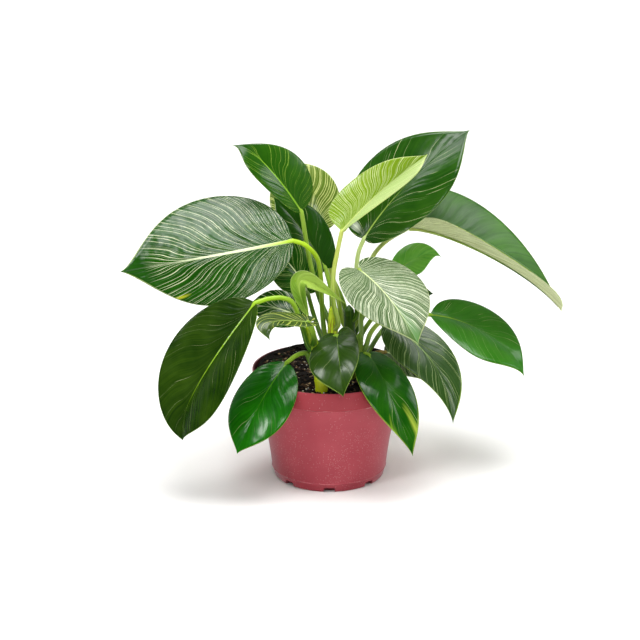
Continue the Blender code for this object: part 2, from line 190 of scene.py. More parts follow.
POT_HEIGHT = 110.0
POT_WALL = 1.6
POT_FLOOR = 2.0
RIM_RADIUS = 76.0
RIM_BAND = 19.5
RIM_STEP = 1.9
RIM_ROUND = 0.8
FOOT_RADIUS = 55.0
FOOT_ROUND = 2.5
FOOT_BEAD = 9.0
BEAD_PROUD = 0.35
BEAD_WIDTH = 1.4
WALL_BASE = 56.3
WALL_LEAN = 0.08
WALL_CURVE = 0.0011
WALL_RINGS = 14
POT_SIDES = 144
NOTCH_COUNT = 8
NOTCH_SIZE = (12.0, 11.0, 10.0)
NOTCH_ROUND = 1.8
SHARP_FROM = math.radians(32.0)
WELD = 0.01


def wall_radius(height):
    """Outer radius of the pot's flared wall below the band."""
    return WALL_BASE + WALL_LEAN * height + WALL_CURVE * height**2


def wall_profile(inset, steps):
    """Points of the flared wall, moved in by inset, from the bead at the foot up to the band."""
    rise = (POT_HEIGHT - RIM_BAND - FOOT_BEAD) / steps
    heights = [FOOT_BEAD + rise * i for i in range(steps + 1)]
    return [(wall_radius(height) - inset, height) for height in heights]


def turned(profile, sides):
    """Closed solid of revolution round Z, from points (radius, height) that end on the axis."""
    made = bmesh.new()
    verts = [made.verts.new((radius, 0.0, height)) for radius, height in profile]
    edges = [made.edges.new(pair) for pair in zip(verts, verts[1:])]
    bmesh.ops.spin(made, geom=verts + edges, cent=(0, 0, 0), axis=(0, 0, 1), angle=math.tau,
                   steps=sides, use_merge=True)
    bmesh.ops.remove_doubles(made, verts=made.verts, dist=WELD)
    bmesh.ops.recalc_face_normals(made, faces=made.faces)
    return made


def polypropylene():
    """Moulded polypropylene, a waxy plastic with a soft shine, with a pale painted highlight along its
    raised edges and painted shade on its inside, and dusted with dried water spots and grains of potting
    mix."""
    made = new_surface("moulded_polypropylene")
    place = add(made, "TexCoord")["Object"]
    parts = add(made, "SeparateXYZ", {"Vector": place})
    # the pigment is a little uneven, over about 30 mm
    cloud = add(made, "TexNoise", {"Vector": place, "Scale": 34.0, "Detail": 3.0})["Fac"]
    body = add(made, "Mix", {0: cloud, 6: linear("#A03642"), 7: linear("#BE4C58")}, data_type="RGBA")[2]
    # the band is thicker and lets less light through, so it is a deeper red
    thick = add(made, "Math", {0: parts["Z"], 1: (POT_HEIGHT - RIM_BAND) * MM}, operation="GREATER_THAN")[0]
    body = add(made, "Mix", {0: thick, 6: body, 7: linear("#A63640")}, data_type="RGBA")[2]
    # the inner wall is painted dark, as painted shade inside the pot
    level = add(made, "VectorMath", {0: place, 1: (1.0, 1.0, 0.0)}, operation="MULTIPLY")[0]
    facing = add(made, "NewGeometry")["Normal"]
    inward = add(made, "VectorMath", {0: facing, 1: level}, operation="DOT_PRODUCT")[1]
    inside = add(made, "MapRange", {"Value": inward, 2: -0.02, 4: 0.75})[0]
    body = add(made, "Mix", {0: inside, 6: body, 7: linear("#2E1A1E")}, data_type="RGBA")[2]
    # dried specks some 0.6 mm across, in drifts of 25 mm, and most of them low down
    drift = add(made, "TexNoise", {"Vector": place, "Scale": 40.0, "Detail": 2.0})["Fac"]
    drift = add(made, "MapRange", {"Value": drift, 1: 0.35, 2: 0.70, 3: 0.04, 4: 0.55})[0]
    low_down = add(made, "MapRange", {"Value": parts["Z"], 1: 0.095, 2: 0.045, 3: 0.25})[0]
    drift = add(made, "Math", {0: drift, 1: low_down}, operation="MULTIPLY")[0]
    cell = add(made, "TexVoronoi", {"Vector": place, "Scale": 850.0})
    chance = add(made, "SeparateColor", {"Color": cell["Color"]})[0]
    chosen = add(made, "Math", {0: chance, 1: drift}, operation="LESS_THAN")[0]
    dot = add(made, "MapRange", {"Value": cell["Distance"], 1: 0.36, 2: 0.12, 4: 0.5})[0]
    specks = add(made, "Math", {0: dot, 1: chosen}, operation="MULTIPLY")[0]
    # a pale painted highlight along the step of the band and along the bead, broken up by noise
    stretch = add(made, "Mapping", {"Vector": place, "Scale": (90.0, 90.0, 800.0)})[0]
    highlight_breakup = add(made, "TexNoise", {"Vector": stretch, "Scale": 1.0, "Detail": 5.0, "Roughness": 0.7})["Fac"]
    highlight_breakup = add(made, "MapRange", {"Value": highlight_breakup, 1: 0.52, 2: 0.66, 4: 0.5})[0]
    step = add(made, "Math", {0: parts["Z"], 1: (POT_HEIGHT - RIM_BAND + 0.6) * MM, 2: 1.0 * MM},
               operation="COMPARE")[0]
    bead = add(made, "Math", {0: parts["Z"], 1: FOOT_BEAD * MM, 2: 0.5 * MM}, operation="COMPARE")[0]
    raised = add(made, "Math", {0: step, 1: bead}, operation="MAXIMUM")[0]
    edge_highlight = add(made, "Math", {0: highlight_breakup, 1: raised}, operation="MULTIPLY")[0]
    # the dried specks and the painted highlight share one pale colour
    specks_and_highlight = add(made, "Math", {0: specks, 1: edge_highlight}, operation="MAXIMUM")[0]
    colour = add(made, "Mix", {0: specks_and_highlight, 6: body, 7: linear("#E2B8B6")}, data_type="RGBA")[2]
    # the mould's fine spark-eroded grain, drawn at 1.2 mm so that it can be seen
    grain = add(made, "TexNoise", {"Vector": place, "Scale": 830.0, "Detail": 2.0})["Fac"]
    rough = add(made, "MapRange", {"Value": cloud, 1: 0.3, 2: 0.7, 3: 0.34, 4: 0.46})[0]
    return coat(made, colour, rough, (grain, 0.00008, 0.5), {"IOR": 1.49})


# one point between its two ends rounds each corner of the foot and of the rim
band = POT_HEIGHT - RIM_BAND
band_radius = wall_radius(band) + RIM_STEP
bead_radius = wall_radius(FOOT_BEAD)
outer = [
    (0, 0), (FOOT_RADIUS - FOOT_ROUND, 0), (FOOT_RADIUS - 0.7, 0.4), (FOOT_RADIUS, FOOT_ROUND / 2),
    (WALL_BASE, FOOT_BEAD - FOOT_ROUND), (WALL_BASE + 0.5, FOOT_BEAD - BEAD_WIDTH / 2),
    (bead_radius + BEAD_PROUD, FOOT_BEAD), (bead_radius, FOOT_BEAD + BEAD_WIDTH / 2),
    *wall_profile(0.0, WALL_RINGS)[1:], (band_radius - 0.5, band + POT_WALL * 0.6),
    (band_radius, band + POT_WALL), (RIM_RADIUS, POT_HEIGHT - RIM_ROUND),
    (RIM_RADIUS - 0.25, POT_HEIGHT - 0.2), (RIM_RADIUS - RIM_ROUND, POT_HEIGHT)]
inner = [
    (RIM_RADIUS - POT_WALL - 0.2, POT_HEIGHT - 0.25),
    (RIM_RADIUS - POT_WALL - RIM_ROUND / 2, POT_HEIGHT - RIM_ROUND),
    (band_radius - POT_WALL, band + 2 * POT_WALL), *reversed(wall_profile(POT_WALL, WALL_RINGS)),
    (FOOT_RADIUS - POT_WALL - 1.0, POT_FLOOR + FOOT_ROUND / 2),
    (FOOT_RADIUS - POT_WALL - FOOT_ROUND, POT_FLOOR), (0, POT_FLOOR)]
pot = finish_piece("nursery_pot", turned(outer + inner, POT_SIDES), [polypropylene()], "pot", ["pot"])

for i in range(NOTCH_COUNT):
    bm = bmesh.new()
    bmesh.ops.create_cube(bm, size=1.0)
    bmesh.ops.scale(bm, vec=NOTCH_SIZE, verts=bm.verts)
    radial = [edge for edge in bm.edges if abs(edge.verts[0].co.x - edge.verts[1].co.x) > 1.0]
    bmesh.ops.bevel(bm, geom=radial, offset=NOTCH_ROUND, offset_type="OFFSET", segments=4, profile=0.5,
                    affect="EDGES", material=-1)
    bmesh.ops.translate(bm, vec=(FOOT_RADIUS, 0, 0), verts=bm.verts)
    bmesh.ops.rotate(bm, cent=(0, 0, 0), matrix=Matrix.Rotation(math.tau * i / NOTCH_COUNT, 3, "Z"),
                     verts=bm.verts)
    cutter = finish_piece("notch_cutter", bm, [])
    cut = pot.modifiers.new("notch", "BOOLEAN")
    cut.operation = "DIFFERENCE"
    cut.solver = "EXACT"
    cut.object = cutter
    carved = pot.evaluated_get(bpy.context.evaluated_depsgraph_get())
    carved = bpy.data.meshes.new_from_object(carved)
    pot.modifiers.clear()
    pot.data = carved
    bpy.data.objects.remove(cutter)
pot.data.shade_smooth()
pot.data.set_sharp_from_angle(angle=SHARP_FROM)

# Soil
# Damp potting mix of peat and composted bark, heaped towards the middle and watered into crumbs.
# Bark flakes, splinters of paler wood, grains of perlite and a little moss lie on it.

SOIL_EDGE = 104.0
SOIL_MOUND = 6.5
SOIL_HEAP = 8.0
SOIL_HEAP_POWER = 6
SOIL_LUMP = 1.6
SOIL_CLOD = 13.0
SOIL_CRUMB = 6.0
SOIL_GRIT = 2.1
GRIT_RISE = 0.7
SOIL_RINGS = 56
CLEARANCE = 0.3
SCATTER_SEED = 11
SCATTER_INSET = 4.0
CRUMB_TILT = 0.5
CRUMB_LIFT = 0.35
CRUMB_DENT = 0.35
MOSS_MIDDLE = math.radians(140.0)
MOSS_SPREAD = 0.6
MOSS_REACH = (0.55, 0.9)


def soil_height(x, y, edge):
    """Height of the lumpy mound of soil of radius edge, heaped up a little along its back."""
    across = min(1.0, math.hypot(x, y) / edge)
    heap = SOIL_HEAP * across**SOIL_HEAP_POWER * math.sqrt(max(0.0, y / edge))
    lump = noise.noise(Vector((x / SOIL_CLOD, y / SOIL_CLOD, 2.7)))
    lump += 0.5 * noise.noise(Vector((x / SOIL_CRUMB, y / SOIL_CRUMB, 9.1)))
    return SOIL_EDGE + heap + SOIL_MOUND * (1 - across**2) + SOIL_LUMP * lump * (1 - 0.6 * across**4)


def crumbly(name, dark, light, scale, roughness):
    """A dry or damp crumb of one of the mix's parts: matt, rough and mottled."""
    made = new_surface(name)
    place = add(made, "TexCoord")["Object"]
    fleck = add(made, "TexNoise", {"Vector": place, "Scale": scale, "Detail": 6.0, "Roughness": 0.65})["Fac"]
    share = add(made, "MapRange", {"Value": fleck, 1: 0.35, 2: 0.68})[0]
    colour = add(made, "Mix", {0: share, 6: linear(dark), 7: linear(light)}, data_type="RGBA")[2]
    return coat(made, colour, roughness, (fleck, 0.0008, 0.9), {"Specular IOR Level": 0.2})


soil_gap = POT_WALL + CLEARANCE
soil_radius = band_radius - soil_gap
bottom = POT_FLOOR + CLEARANCE
low = [(0, bottom), (FOOT_RADIUS - soil_gap - 2 * FOOT_ROUND, bottom)]
side = [*wall_profile(soil_gap, 3), (soil_radius, band + 2 * POT_WALL - CLEARANCE)]
top = [(soil_radius * (1 - i / SOIL_RINGS), SOIL_EDGE) for i in range(SOIL_RINGS + 1)]
bm = turned(low + side + top, POT_SIDES)
for vert in bm.verts:
    x, y, z = vert.co
    if z > SOIL_EDGE - WELD:
        grit = noise.noise(Vector((x / SOIL_GRIT, y / SOIL_GRIT, 4.4)))
        vert.co.z = soil_height(x, y, soil_radius) + GRIT_RISE * grit
peat = crumbly("damp_peat", "#040302", "#1F1610", 620.0, 0.9)
finish_piece("potting_mix", bm, [peat], "soil", ["soil"])

SCATTERS = {
    # name: (count, size, flatness, length, dark, light)
    "peat_crumbs": (520, (1.0, 2.6), 0.8, 1.2, "#050403", "#231811"),
    "bark_flakes": (420, (0.8, 2.1), 0.4, 1.6, "#160D08", "#6E5038"),
    "wood_splinters": (150, (0.8, 1.6), 0.4, 2.4, "#7A6040", "#D2B68C"),
    "perlite_grains": (130, (0.5, 1.0), 0.8, 1.1, "#D2CEC6", "#FFFDF6"),
    "moss_tufts": (46, (1.2, 2.4), 0.6, 1.2, "#0B1C0E", "#28501F"),
}
draw = random.Random(SCATTER_SEED)
for name, (count, size, flat, long, dark, light) in SCATTERS.items():
    bm = bmesh.new()
    for _ in range(count):
        reach = (soil_radius - SCATTER_INSET) * math.sqrt(draw.random())
        around = draw.uniform(0.0, math.tau)
        if name == "moss_tufts":
            around = MOSS_MIDDLE + draw.gauss(0.0, MOSS_SPREAD)
            reach = soil_radius * draw.uniform(*MOSS_REACH)
        x, y = reach * math.cos(around), reach * math.sin(around)
        radius = draw.uniform(*size)
        turn = Matrix.Rotation(draw.uniform(0.0, math.tau), 4, "Z")
        tilt = Matrix.Rotation(draw.uniform(-CRUMB_TILT, CRUMB_TILT), 4, "X")
        shape = Matrix.Diagonal((radius * long, radius, radius * flat, 1.0))
        height = soil_height(x, y, soil_radius) + CRUMB_LIFT * radius * flat
        place = Matrix.Translation((x, y, height))
        bmesh.ops.create_icosphere(bm, subdivisions=1, radius=1.0, matrix=place @ turn @ tilt @ shape)
    for vert in bm.verts:
        vert.co += noise.noise_vector(vert.co * 0.9) * CRUMB_DENT
    bmesh.ops.recalc_face_normals(bm, faces=bm.faces)
    piece = finish_piece(name, bm, [crumbly(name, dark, light, 900.0, 0.8)], "soil", ["soil"])
    piece.data.shade_flat()

# Stems
# Four short fleshy stems, yellow-green and ringed with the scars of old leaves. Each ends in a
# growing point between the sheaths of its youngest leaves.


@dataclass
class Stem:
    """A short stem: the points of its axis, its radius at the bottom and at the top, and the
    colours of its foot, its head, its strands and the brown blush on its sheath."""

    axis: tuple
    radius: tuple
    foot: str
    head: str
    strand: str
    blush: str = ""


STEMS = {
    "stem_front": Stem(
        axis=((-7, -59, 80), (-8, -56, 112), (-13, -51, 140), (-19, -46, 166)), radius=(6.5, 4.6),
        foot="#CAD814", head="#72980C", strand="#D6E040"),
    "stem_right": Stem(
        axis=((26, -28, 80), (27, -27, 112), (29, -22, 148)), radius=(7.5, 3.8),
        foot="#6F7C18", head="#4E7412", strand="#94A436"),
    # its head is painted a lighter yellow-green than its own, as painted light on a sheath that stands in
    # shade
    "stem_centre": Stem(
        axis=((3, -4, 80), (3, -3, 120), (4, -1, 170)), radius=(7.5, 4.6),
        foot="#7E9A18", head="#CCE62C", strand="#DEEA58", blush="#7E3A10"),
    "stem_back": Stem(
        axis=((21, 34, 80), (21, 34, 120), (20, 35, 158)), radius=(7.5, 5.0),
        foot="#3E5A10", head="#2C540C", strand="#6A8A26"),
}
STEM_SAMPLES = 72
STEM_SIDES = 24
STEM_BUD = 6.0
BUD_STEPS = 8
BUD_ROUND = 1.3
SCAR_PITCH = 9.0
SCAR_PROUD = 0.45
GROOVE_WIDTH = 0.55
TUBE_WELD = 0.004
STEM_POLE = 0.02


def smooth_route(points, steps):
    """Points at even steps of the smooth curve that passes through all the given points."""
    ends = [2 * points[0] - points[1], *points, 2 * points[-1] - points[-2]]
    samples = []
    for i in range(steps + 1):
        at = i / steps * (len(points) - 1)
        k = min(int(at), len(points) - 2)
        t = at - k
        a, b, c, d = ends[k:k + 4]
        bend = (2 * a - 5 * b + 4 * c - d) * t**2 + (3 * b - 3 * c + d - a) * t**3
        samples.append(0.5 * (2 * b + (c - a) * t + bend))
    return samples


def grow_tube(bm, path, radii, facing, sides, zero=0, groove=0.0):
    """Add a tube along a path to a bmesh, welded along its seam. facing is the way that its groove
    looks. Each point keeps its place: millimetres along from point zero of the path, and
    millimetres round."""
    surface = bm.verts.layers.float_vector.get("surface") or bm.verts.layers.float_vector.new("surface")
    count = len(path) - 1
    frames, lengths = [], [0.0]
    out = Vector(facing)
    for i, place in enumerate(path):
        ahead = (path[min(i + 1, count)] - path[max(i - 1, 0)]).normalized()
        out = (out - ahead * out.dot(ahead)).normalized()
        frames.append((place, out, ahead.cross(out)))
        if i:
            lengths.append(lengths[-1] + (place - path[i - 1]).length)
    verts = bmesh.ops.create_grid(bm, x_segments=count, y_segments=sides, size=1.0)["verts"]
    for vert in verts:
        i = round((vert.co.x + 1) / 2 * count)
        angle = vert.co.y * math.pi
        place, out, across = frames[i]
        radius = radii[i] * (1 - groove * math.exp(-(angle / GROOVE_WIDTH)**2))
        vert.co = place + radius * (out * math.cos(angle) + across * math.sin(angle))
        vert[surface] = Vector((lengths[i] - lengths[zero], angle * max(radii), 0.0))
    bmesh.ops.remove_doubles(bm, verts=verts, dist=TUBE_WELD)


def fleshy(name, tones, strand, blush=""):
    """The skin of a stem or leaf stalk: smooth, juicy and softly glossy, and streaked along its
    length by the strands below. tones are its colours and their places along it, in millimetres."""
    made = new_surface(name)
    place = add(made, "Attribute", attribute_name="surface")["Vector"]
    parts = add(made, "SeparateXYZ", {"Vector": place})
    colour = linear(tones[0][1])
    for (low, _), (high, hue) in zip(tones, tones[1:]):
        share = add(made, "MapRange", {"Value": parts["X"], 1: low, 2: high},
                    interpolation_type="SMOOTHSTEP")[0]
        colour = add(made, "Mix", {0: share, 6: colour, 7: linear(hue)}, data_type="RGBA")[2]
    # strands about 1.5 mm apart, each a few centimetres long, from the joint down
    stretch = add(made, "Mapping", {"Vector": place, "Scale": (0.03, 0.7, 0.0)})[0]
    strands = add(made, "TexNoise", {"Vector": stretch, "Scale": 1.0, "Detail": 3.0})["Fac"]
    streak = add(made, "MapRange", {"Value": strands, 1: 0.45, 2: 0.72, 4: 0.5})[0]
    below = add(made, "MapRange", {"Value": parts["X"], 1: -8.0, 2: 4.0})[0]
    streak = add(made, "Math", {0: streak, 1: below}, operation="MULTIPLY")[0]
    colour = add(made, "Mix", {0: streak, 6: colour, 7: linear(strand)}, data_type="RGBA")[2]
    if blush:
        drawn = add(made, "Mapping", {
            "Vector": place, "Scale": (0.05, 0.3, 0.0), "Location": (3.1, 0.4, 0.0)})[0]
        patch = add(made, "TexNoise", {"Vector": drawn, "Scale": 1.0, "Detail": 4.0})["Fac"]
        patch = add(made, "MapRange", {"Value": patch, 1: 0.50, 2: 0.62, 4: 0.85})[0]
        colour = add(made, "Mix", {0: patch, 6: colour, 7: linear(blush)}, data_type="RGBA")[2]
    return coat(made, colour, 0.34, (strands, 0.0001, 0.4), {"IOR": 1.42})


for name, stem in STEMS.items():
    route = smooth_route([Vector(point) for point in stem.axis], STEM_SAMPLES)
    foot, head = stem.radius
    bud = (route[-1] - route[-2]).normalized()
    radii = []
    for i in range(STEM_SAMPLES + 1):
        scar = max(0.0, math.cos(math.tau * route[i].z / SCAR_PITCH))**8
        radii.append(foot + (head - foot) * i / STEM_SAMPLES + SCAR_PROUD * scar)
    for step in range(1, BUD_STEPS + 1):
        rise = step / BUD_STEPS
        route.append(route[STEM_SAMPLES] + bud * STEM_BUD * rise)
        radii.append(max(STEM_POLE, head * (1 - rise**BUD_ROUND)))
    bm = bmesh.new()
    grow_tube(bm, [route[0], *route], [STEM_POLE, *radii], (0, -1, 0), STEM_SIDES)
    bmesh.ops.recalc_face_normals(bm, faces=bm.faces)
    skin = fleshy(name + "_flesh", ((30.0, stem.foot), (75.0, stem.head)), stem.strand, stem.blush)
    finish_piece(name + "_skin", bm, [skin], "stem", [name])

# Leaves
# Leathery blades, each on its own stalk that clasps the stem, with a pale midrib and a thin pale
# margin. Cream stripes follow the side veins, which leave the midrib and sweep on to the tip.

BLADE_THICKNESS = 0.6
BLADE_PEAK = 0.96
BLADE_ROWS = 96
BLADE_COLUMNS = 40
LOBE_AT = 0.45
VEIN_SWEEP = 2.2
VEIN_CROWD = 0.54
VEIN_ARC = 0.5
TIP_TURN = 18
WAVE_ALONG = 7.0
WAVE_ACROSS = 2.5
MARGIN_FROM = 14.0
QUILT_PITCH = 11.0
STALK_RADIUS = 2.4
STALK_SAMPLES = 56
STALK_SIDES = 18
STALK_START = 1.08
STALK_SLIM = 0.2
STALK_GROOVE = 0.14
STALK_POLE = 0.01
FOOT_SUNK = 2.0
FOOT_OUT = 2.6
FOOT_RISE = 7.0
FOOT_SWELL = 0.45
SWELL_SAMPLES = 5
RIB_SAMPLES = 40
RIB_REACH = 0.965
RIB_TAPER = 0.8
JOINT_RAISED = 0.45
RIB_TIP_RADIUS = 0.3


@dataclass
class Leaf:
    """A leaf's form: its foot's height and azimuth on the stem, its stalk's route, its midrib's
    control points from joint to tip, the way its upper side looks, and how its halves fold up and
    curl down. lobe, point, skew and uneven shape its outline, and tip is how far its very end is
    bent aside. quilt and wave are the swellings between its veins and at its edge, keel its midrib's
    radius, and raised the part of that which stands above the blade."""

    stem: str
    foot: tuple
    stalk: tuple
    rib: tuple
    width: float
    face: tuple
    fold: float = 14.0
    curl: float = 20.0
    lobe: float = 0.06
    point: float = 4.5
    skew: float = 0.0
    uneven: float = 0.0
    tip: tuple = (0.0, 0.0, 0.0)
    quilt: float = 0.05
    wave: float = 0.5
    keel: float = 1.5
    raised: float = -0.2


@dataclass
class Finish:
    """A leaf's colours and stripes. deep and fresh are its greens, under and weave those of its
    underside, and stalk, root and strand those of its stalk. bold and fine are two layers of
    stripes, each with its pitch and width in millimetres, its density and its strength, and none
    past bare_tip. The midrib is rib_width wide on each side at the joint, and has faded by rib_end
    of the length. The margin is a thread of margin_width. rough is the cuticle's roughness.
    half is the side (1 or -1) that is painted paler, as painted sheen, and its colour. Each patch is a spot
    of another colour, most of them the leaf's own marks and one a painted highlight: its place as shares of
    the length and half width, its radius and its colour. ripple scales the relief."""

    deep: str
    fresh: str
    stripe: str
    under: str
    weave: str
    rib: str
    margin: str
    bold: tuple
    fine: tuple
    stalk: str
    root: str
    strand: str
    rough: float = 0.18
    bare_tip: float = 0.9
    rib_width: float = 0.8
    rib_end: float = 0.75
    margin_width: float = 0.3
    half: tuple = ()
    patches: tuple = ()
    ripple: float = 1.0


def bezier(points, t):
    """Point of the Bezier curve with these control points."""
    level = [Vector(point) for point in points]
    while len(level) > 1:
        level = [a.lerp(b, t) for a, b in zip(level, level[1:])]
    return level[0]


def blade_plan(leaf, q, s):
    """Plan of the blade: shares of the length along the midrib and along the margin, and distance
    from the midrib in millimetres. Lines of equal q, from 0 at the joint to 1 at the tip, follow
    the side veins, and s runs from one margin (-1) to the other (1). A vein leaves the midrib at a
    low angle, climbs across the blade, and lies down again along the margin."""
    theta = math.pi * q
    reach = (1 - math.cos(theta)) / 2
    half = leaf.width / 2 / BLADE_PEAK * math.sin(theta) * (1 - reach**leaf.point)
    half *= 1 + math.copysign(leaf.uneven, s)
    lobe = leaf.lobe * theta / LOBE_AT * math.exp(1 - theta / LOBE_AT) * (1 - reach)
    start = 1 - (1 - reach**VEIN_SWEEP)**VEIN_CROWD
    margin = reach - lobe + leaf.skew * s * math.sin(theta)**2
    climb = abs(s) + VEIN_ARC * math.sin(math.tau * abs(s)) / math.tau
    return start + (margin - start) * climb, reach, half * s


def rib_frame(leaf, along):
    """Point of the midrib, the direction across the blade and the one out of its upper side."""
    step = 0.01
    place = bezier(leaf.rib, along)
    ahead = (bezier(leaf.rib, along + step) - bezier(leaf.rib, along - step)).normalized()
    face = Vector(leaf.face)
    out = (face - ahead * face.dot(ahead)).normalized()
    return place + Vector(leaf.tip) * along**TIP_TURN, ahead.cross(out), out


def grow_blade(bm, leaf, length):
    """Add the blade: a slab of grid, bent from the midrib, quilted between its veins and waved at
    its edge. Each point keeps where its vein ends on the margin, its distance from the midrib and
    the one in from the margin, in millimetres, its share of the length and its side."""
    surface = bm.verts.layers.float_vector.new("surface")
    share = bm.verts.layers.float.new("share")
    under = bm.verts.layers.float.new("under")
    bmesh.ops.create_grid(bm, x_segments=BLADE_ROWS, y_segments=BLADE_COLUMNS, size=1.0)
    lower = bmesh.ops.extrude_face_region(bm, geom=bm.faces[:])["geom"]
    lower = [item for item in lower if isinstance(item, bmesh.types.BMVert)]
    bmesh.ops.translate(bm, vec=(0, 0, -1), verts=lower)
    fold = math.radians(leaf.fold)
    bend = math.radians(leaf.curl) / (leaf.width / 2)
    for vert in bm.verts:
        q, s, depth = (vert.co.x + 1) / 2, vert.co.y, -vert.co.z
        along, reach, across = blade_plan(leaf, q, s)
        place, side, out = rib_frame(leaf, along)
        turned_to = fold - bend * abs(across)
        over = (math.sin(fold) - math.sin(turned_to)) / bend
        rise = (math.cos(turned_to) - math.cos(fold)) / bend
        inside = 4 * abs(s) * (1 - abs(s)) * math.sin(math.pi * q)
        rise += leaf.quilt * inside * math.sin(math.tau * reach * length / QUILT_PITCH)
        ripple = math.sin(WAVE_ALONG * q + WAVE_ACROSS * s + leaf.width)
        rise += leaf.wave * s**4 * math.sin(math.pi * q) * ripple
        vert.co = place + side * math.copysign(over, across) + out * (rise - depth * BLADE_THICKNESS)
        half = abs(across / s) if s else leaf.width / 2
        vert[surface] = Vector((reach * length, across, (1 - abs(s)) * max(half, MARGIN_FROM)))
        vert[share] = along
        vert[under] = depth
    bmesh.ops.remove_doubles(bm, verts=bm.verts, dist=WELD)


def grow_stalk(bm, leaf):
    """Add the stalk, grooved along its upper side, which runs on as the keel of the midrib."""
    height, azimuth = leaf.foot
    stem = STEMS[leaf.stem]
    points = [Vector(point) for point in stem.axis]
    for low, high in zip(points, points[1:]):
        if height <= high.z:
            break
    axis = low.lerp(high, (height - low.z) / (high.z - low.z))
    climb = (height - points[0].z) / (points[-1].z - points[0].z)
    radius = stem.radius[0] + (stem.radius[1] - stem.radius[0]) * climb
    outward = Vector((math.cos(math.radians(azimuth)), math.sin(math.radians(azimuth)), 0))
    root = axis + outward * (radius - FOOT_SUNK)
    shoulder = axis + outward * (radius + FOOT_OUT) + Vector((0, 0, FOOT_RISE))
    via = [Vector(point) for point in leaf.stalk]
    route = smooth_route([root, shoulder, *via, Vector(leaf.rib[0])], STALK_SAMPLES)
    radii = []
    for i in range(STALK_SAMPLES + 1):
        swell = FOOT_SWELL * math.exp(-i / SWELL_SAMPLES)
        radii.append(STALK_RADIUS * (STALK_START - STALK_SLIM * i / STALK_SAMPLES + swell))
    joint = radii[-1]
    for i in range(1, RIB_SAMPLES + 1):
        along = RIB_REACH * i / RIB_SAMPLES
        place, _, out = rib_frame(leaf, along)
        start = leaf.keel + (joint - leaf.keel) * math.exp(-i / 3)
        thick = start * (1 - along)**RIB_TAPER + RIB_TIP_RADIUS * along
        sunk = 1 - leaf.raised + (leaf.raised - JOINT_RAISED) * math.exp(-i / 4)
        route.append(place - out * thick * sunk)
        radii.append(thick)
    facing = rib_frame(leaf, 0.02)[2]
    route = [route[0], *route, route[-1]]
    radii = [STALK_POLE, *radii, STALK_POLE]
    route.reverse()
    radii.reverse()
    grow_tube(bm, route, radii, facing, STALK_SIDES, zero=RIB_SAMPLES + 1, groove=STALK_GROOVE)
    return sum((b - a).length for a, b in zip(route[RIB_SAMPLES + 1:], route[RIB_SAMPLES + 2:]))


